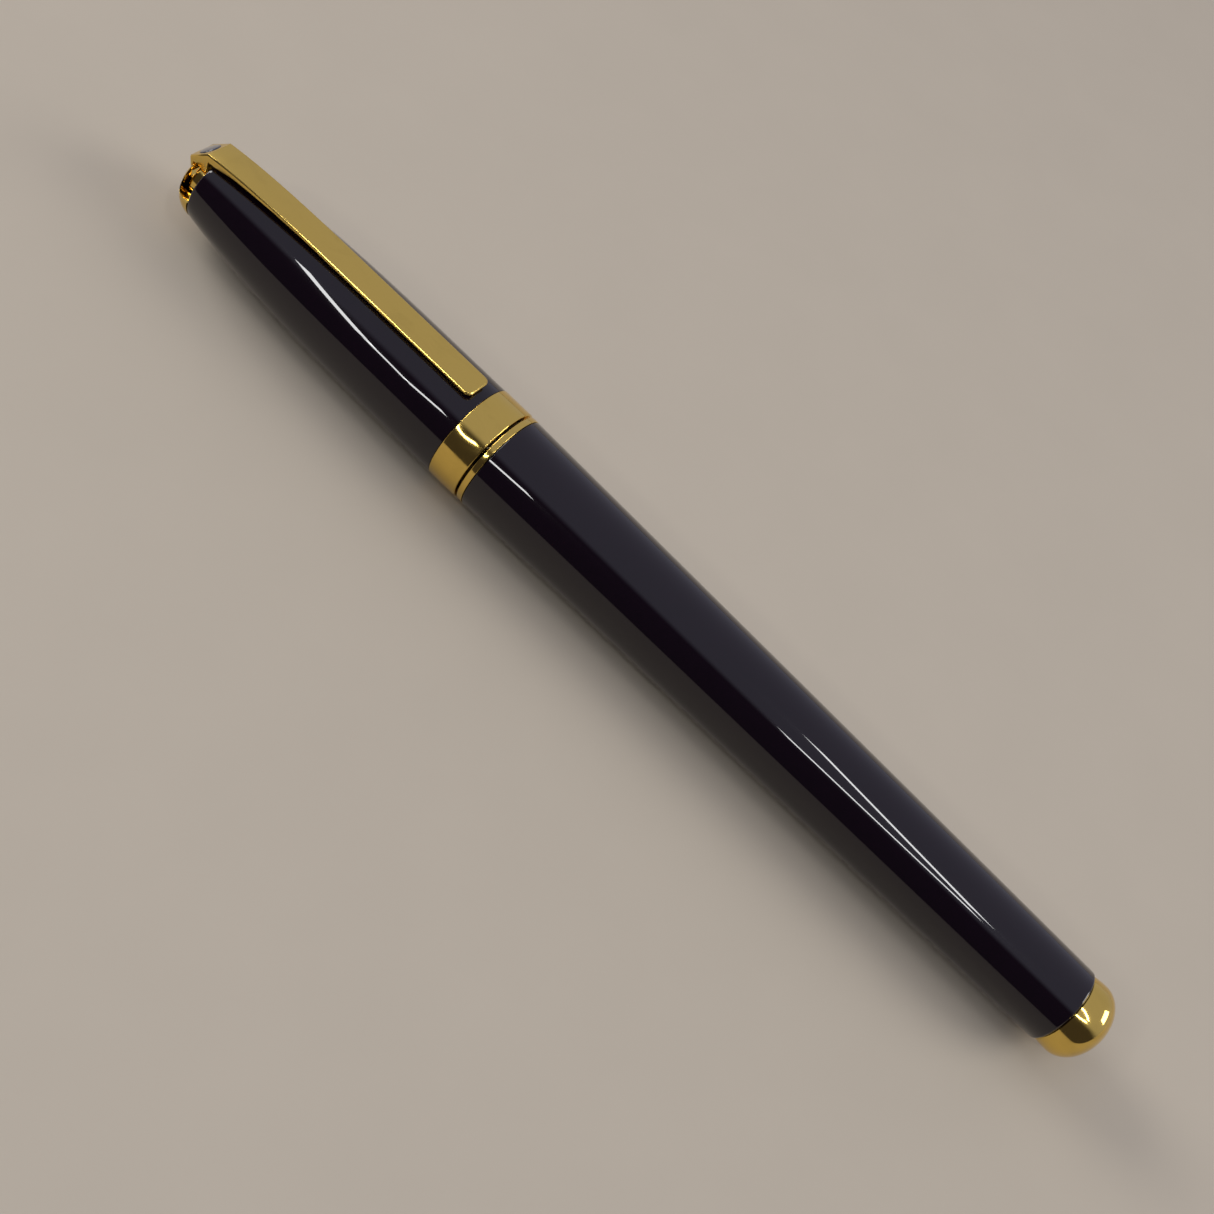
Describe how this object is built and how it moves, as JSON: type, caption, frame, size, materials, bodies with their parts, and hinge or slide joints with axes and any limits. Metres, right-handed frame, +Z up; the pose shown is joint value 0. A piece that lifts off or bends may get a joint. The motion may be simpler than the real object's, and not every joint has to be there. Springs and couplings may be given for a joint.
{
  "type": "capped rollerball pen",
  "caption": "Capped rollerball pen: tapering lacquered cap and barrel with gold-plated band, sprung clip, domed ends, pull-off cap, screw barrel and sprung refill.",
  "frame": {"origin": "on the table surface under the middle of the pen's length, straight below its axis", "axes": "+X along the pen from crown to tail, +Z up with the clip on top, +Y across, away from a viewer who has the crown at the left"},
  "size_m": [0.1388, 0.0124, 0.0132],
  "materials": {
    "lacquer": "very dark aubergine lacquer, clear and mirror-glossy",
    "gold_plate": "polished gold plate",
    "brass": "machined",
    "steel": "satin",
    "carbide": "polished",
    "black_plastic": "moulded",
    "rubber": "matt",
    "inlay": "smooth polished dome",
    "ink_fibre": "fibre soaked with ink"
  },
  "bodies": {
    "section": {"grip_section": "lacquer", "section_catch_ring": "steel", "section_collar": "gold_plate", "thread_sleeve": "brass", "section_o_ring": "rubber", "nose_cone": "gold_plate"},
    "cap": {"cap_shell": "lacquer", "cap_band": "gold_plate", "cap_snap_ring": "steel", "cap_liner": "black_plastic", "cap_tip_seal": "rubber", "crown": "gold_plate", "crown_sleeve": "gold_plate", "crown_screw": "steel", "clip_bracket": "steel", "clip_spring": "steel"},
    "clip": {"clip": "gold_plate", "clip_inlay": "inlay", "clip_pin": "steel"},
    "refill": {"refill_tube": "steel", "refill_feed": "black_plastic", "refill_tip": "steel", "ink_wick": "ink_fibre", "ink_reservoir": "ink_fibre", "refill_end_plug": "black_plastic"},
    "ball": {"writing_ball": "carbide"},
    "spring": {"refill_spring": "steel"},
    "barrel": {"barrel_shell": "lacquer", "barrel_bush": "brass", "tail_insert": "brass", "tail_finial": "gold_plate"}
  },
  "joints": [
    {"name": "cap_pull", "type": "slide", "parent": "section", "child": "cap", "axis": [-1, 0, 0], "range_m": [0, 0.045]},
    {"name": "clip_lift", "type": "hinge", "parent": "cap", "child": "clip", "pos_m": [-0.0672, 0, 0.00992], "axis": [0, -1, 0], "range_deg": [0, 4], "stiffness_Nm_per_rad": 0.3, "springref_deg": -2.86},
    {"name": "refill_push", "type": "slide", "parent": "section", "child": "refill", "axis": [1, 0, 0], "range_m": [0, 0.001], "stiffness_N_per_m": 800, "springref_m": -0.001, "deforming": ["refill_spring"]},
    {"name": "ball_roll", "type": "hinge", "parent": "refill", "child": "ball", "pos_m": [-0.0588, 0, 0.00622], "axis": [0, 1, 0], "continuous": true},
    {"name": "barrel_travel", "type": "slide", "parent": "section", "child": "spring", "axis": [1, 0, 0], "range_m": [0, 0.0061]},
    {"name": "barrel_unscrew", "type": "hinge", "parent": "spring", "child": "barrel", "pos_m": [-0.0161, 0, 0.00622], "axis": [1, 0, 0], "range_deg": [0, 2160]}
  ],
  "couplings": [
    {"joint": "barrel_travel", "follows": "barrel_unscrew", "m_per_rad": 0.00015915}
  ]
}
